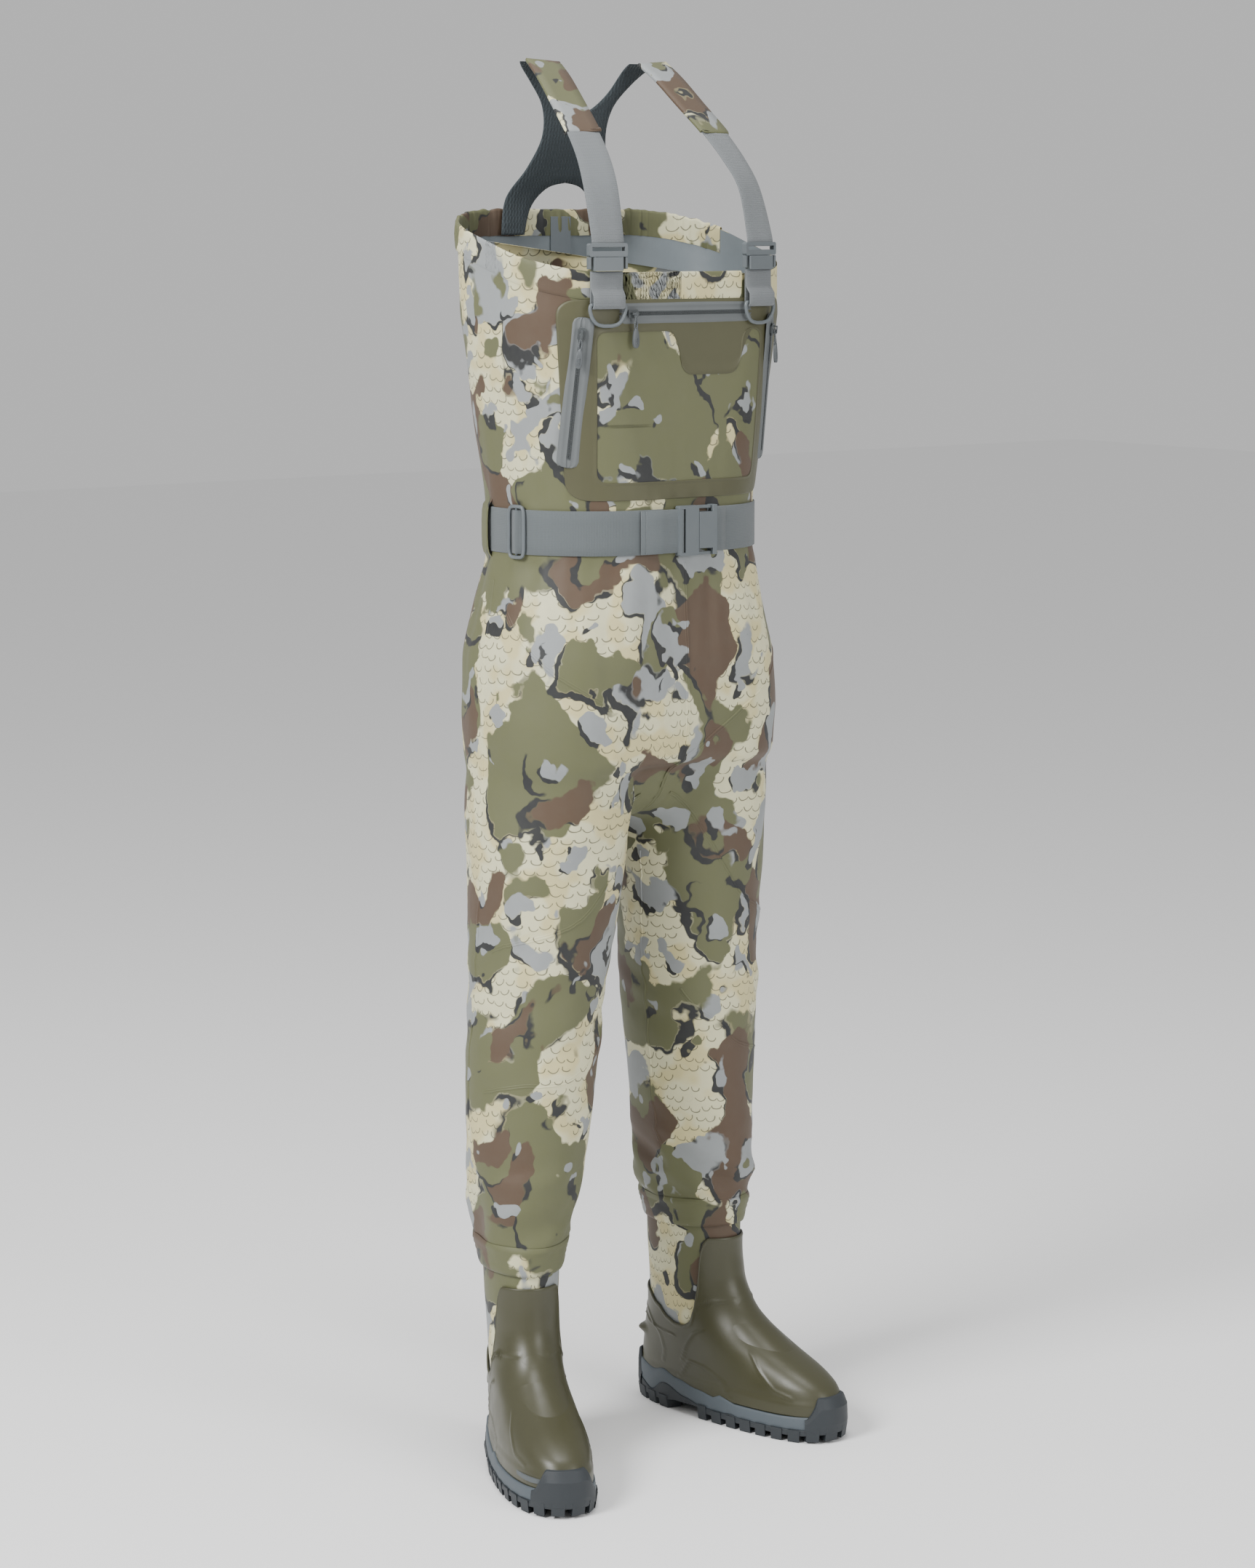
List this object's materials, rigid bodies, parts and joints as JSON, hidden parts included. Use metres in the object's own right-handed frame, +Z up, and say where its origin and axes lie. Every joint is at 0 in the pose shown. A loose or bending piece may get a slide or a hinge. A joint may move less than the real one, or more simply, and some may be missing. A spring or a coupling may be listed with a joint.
{
  "type": "chest waders",
  "caption": "Boot-foot chest waders with moulded rubber boots, zipped chest pocket, side zips, padded yoke straps with quick-release buckles and an elastic belt.",
  "frame": {"origin": "on the floor under the middle of the whole part's box", "axes": "+Z up, -Y the way the chest faces, +X towards the wearer's left"},
  "size_m": [0.5074, 0.3498, 1.596],
  "materials": {
    "camouflage_laminate": "matt woven laminate printed with a camouflage of olive, brown, cream and grey",
    "bonded_panel": "matt bonded olive fabric",
    "strap_webbing": "grey ribbed elastic webbing",
    "belt_webbing": "darker grey elastic webbing with fine ribs",
    "yoke_mesh": "dark slate spacer mesh over foam",
    "lining": "smooth grey inner face",
    "boot_rubber": "satin dark olive moulded rubber",
    "neoprene": "fabric-faced neoprene with the same camouflage",
    "insole_foam": "matt foam",
    "midsole_foam": "matt slate grey moulded foam",
    "outsole_rubber": "matt near-black rubber",
    "zip_tape": "matt coated tape",
    "zip_teeth": "moulded coil",
    "zip_metal": "satin dark grey",
    "pull_rubber": "matt moulded rubber on cord",
    "buckle_plastic": "satin grey acetal"
  },
  "bodies": {
    "waders": {"back_seam_tape": "lining", "belt_loops": "bonded_panel", "belt_socket": "buckle_plastic", "belt_strap": "belt_webbing", "chest_zip_tape": "zip_tape", "chest_zip_teeth": "zip_teeth", "left_anchor_webbing": "strap_webbing", "left_boot_shell": "boot_rubber", "left_boot_upper": "neoprene", "left_buckle_socket": "buckle_plastic", "left_cuff": "bonded_panel", "left_insole": "insole_foam", "left_midsole": "midsole_foam", "left_outsole": "outsole_rubber", "left_shin": "camouflage_laminate", "left_thigh": "camouflage_laminate", "left_zip_tape": "zip_tape", "left_zip_teeth": "zip_teeth", "pocket_frame": "bonded_panel", "pocket_panel": "camouflage_laminate", "right_anchor_webbing": "strap_webbing", "right_boot_shell": "boot_rubber", "right_boot_upper": "neoprene", "right_buckle_socket": "buckle_plastic", "right_cuff": "bonded_panel", "right_insole": "insole_foam", "right_midsole": "midsole_foam", "right_outsole": "outsole_rubber", "right_shin": "camouflage_laminate", "right_thigh": "camouflage_laminate", "right_zip_tape": "zip_tape", "right_zip_teeth": "zip_teeth", "rim_elastic": "camouflage_laminate", "rim_hem": "camouflage_laminate", "torso_back": "camouflage_laminate", "torso_front": "camouflage_laminate"},
    "chest_slider": {"chest_zip_slider": "zip_metal"},
    "chest_pull": {"chest_zip_pull": "pull_rubber"},
    "right_slider": {"right_zip_slider": "zip_metal"},
    "right_pull": {"right_zip_pull": "pull_rubber"},
    "right_ring": {"right_d_ring": "buckle_plastic"},
    "left_slider": {"left_zip_slider": "zip_metal"},
    "left_pull": {"left_zip_pull": "pull_rubber"},
    "left_ring": {"left_d_ring": "buckle_plastic"},
    "harness": {"yoke": "yoke_mesh", "right_shoulder_strap": "camouflage_laminate", "right_elastic_webbing": "strap_webbing", "right_buckle_tongue": "buckle_plastic", "left_shoulder_strap": "camouflage_laminate", "left_elastic_webbing": "strap_webbing", "left_buckle_tongue": "buckle_plastic"},
    "right_arm_right": {"right_buckle_arm_right": "buckle_plastic"},
    "right_arm_left": {"right_buckle_arm_left": "buckle_plastic"},
    "left_arm_right": {"left_buckle_arm_right": "buckle_plastic"},
    "left_arm_left": {"left_buckle_arm_left": "buckle_plastic"},
    "belt_buckle_tongue": {"belt_tongue": "buckle_plastic", "belt_tongue_webbing": "belt_webbing"},
    "belt_arm_up": {"belt_arm_upper": "buckle_plastic"},
    "belt_arm_down": {"belt_arm_lower": "buckle_plastic"},
    "belt_adjuster": {"belt_slider": "buckle_plastic"}
  },
  "joints": [
    {"name": "chest_zip_slide", "type": "slide", "parent": "waders", "child": "chest_slider", "axis": [1, 0, 0], "range_m": [0, 0.1395]},
    {"name": "chest_zip_pull_swing", "type": "hinge", "parent": "chest_slider", "child": "chest_pull", "pos_m": [-0.04485, -0.07526, 1.314], "axis": [-1, 0, 0], "range_deg": [0, 150]},
    {"name": "right_zip_slide", "type": "slide", "parent": "waders", "child": "right_slider", "axis": [-0.0232, 0.1477, -0.9888], "range_m": [0, 0.1312]},
    {"name": "right_zip_pull_swing", "type": "hinge", "parent": "right_slider", "child": "right_pull", "pos_m": [-0.11007, -0.06302, 1.29251], "axis": [-0.8075, 0.5899, 0], "range_deg": [0, 150]},
    {"name": "left_zip_slide", "type": "slide", "parent": "waders", "child": "left_slider", "axis": [0.0232, 0.1477, -0.9888], "range_m": [0, 0.1312]},
    {"name": "left_zip_pull_swing", "type": "hinge", "parent": "left_slider", "child": "left_pull", "pos_m": [0.16238, -0.06302, 1.29251], "axis": [-0.8075, -0.5899, 0], "range_deg": [0, 150]},
    {"name": "right_d_ring_swing", "type": "hinge", "parent": "waders", "child": "right_ring", "pos_m": [-0.08062, -0.07157, 1.324], "axis": [-0.9922, 0.125, 0], "range_deg": [0, 100]},
    {"name": "left_d_ring_swing", "type": "hinge", "parent": "waders", "child": "left_ring", "pos_m": [0.13293, -0.07157, 1.324], "axis": [-0.9922, -0.125, 0], "range_deg": [0, 100]},
    {"name": "harness_lift", "type": "hinge", "parent": "waders", "child": "harness", "pos_m": [0.02615, 0.1589, 1.43], "axis": [-1, 0, 0], "range_deg": [0, 105]},
    {"name": "right_arm_right_squeeze", "type": "slide", "parent": "harness", "child": "right_arm_right", "axis": [0.9922, -0.125, 0], "range_m": [0, 0.0022], "stiffness_N_per_m": 2000},
    {"name": "right_arm_left_squeeze", "type": "slide", "parent": "harness", "child": "right_arm_left", "axis": [-0.9922, 0.125, 0], "range_m": [0, 0.0022], "stiffness_N_per_m": 2000},
    {"name": "left_arm_right_squeeze", "type": "slide", "parent": "harness", "child": "left_arm_right", "axis": [0.9922, 0.125, 0], "range_m": [0, 0.0022], "stiffness_N_per_m": 2000},
    {"name": "left_arm_left_squeeze", "type": "slide", "parent": "harness", "child": "left_arm_left", "axis": [-0.9922, -0.125, 0], "range_m": [0, 0.0022], "stiffness_N_per_m": 2000},
    {"name": "belt_release", "type": "slide", "parent": "waders", "child": "belt_buckle_tongue", "axis": [-1, 0, 0], "range_m": [0, 0.04]},
    {"name": "belt_arm_up_squeeze", "type": "slide", "parent": "belt_buckle_tongue", "child": "belt_arm_up", "axis": [0, 0, -1], "range_m": [0, 0.0022], "stiffness_N_per_m": 2000},
    {"name": "belt_arm_down_squeeze", "type": "slide", "parent": "belt_buckle_tongue", "child": "belt_arm_down", "axis": [0, 0, 1], "range_m": [0, 0.0022], "stiffness_N_per_m": 2000},
    {"name": "belt_adjust", "type": "hinge", "parent": "waders", "child": "belt_adjuster", "pos_m": [-0.01885, 0.04589, 1.072], "axis": [0, 0, 1], "range_deg": [-3, 28]}
  ],
  "couplings": [
    {"joint": "right_arm_left_squeeze", "follows": "right_arm_right_squeeze", "ratio": 1},
    {"joint": "left_arm_left_squeeze", "follows": "left_arm_right_squeeze", "ratio": 1},
    {"joint": "belt_arm_down_squeeze", "follows": "belt_arm_up_squeeze", "ratio": 1}
  ]
}
